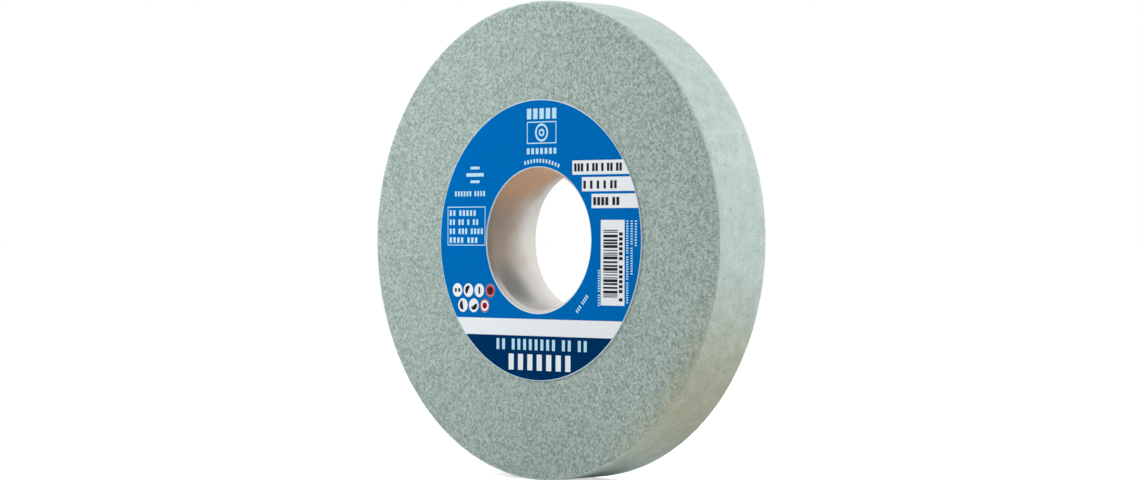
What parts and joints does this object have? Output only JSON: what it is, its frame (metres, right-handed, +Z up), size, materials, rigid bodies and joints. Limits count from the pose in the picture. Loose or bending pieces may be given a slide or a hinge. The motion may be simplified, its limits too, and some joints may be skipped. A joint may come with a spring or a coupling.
{
  "type": "bench grinding wheel",
  "caption": "Straight vitrified grinding wheel with a bushed round bore and a paper blotter glued to each flat side, the front one printed as a label.",
  "frame": {"origin": "centre of the wheel, on its axis, halfway between its two sides", "axes": "+Y along the wheel's axis, from the printed front side to the back; +Z up as the label is read"},
  "size_m": [0.175, 0.026, 0.175],
  "materials": {
    "abrasive": "matte",
    "bush": "matte",
    "paper": "matte",
    "plain_paper": "matte",
    "blue_ink": "matte",
    "navy_ink": "matte"
  },
  "bodies": {
    "root": {"abrasive_wheel": "abrasive", "bore_bush": "bush", "front_blotter": "paper", "rear_blotter": "plain_paper", "blue_label_ink": "blue_ink", "navy_label_ink": "navy_ink"}
  },
  "joints": []
}
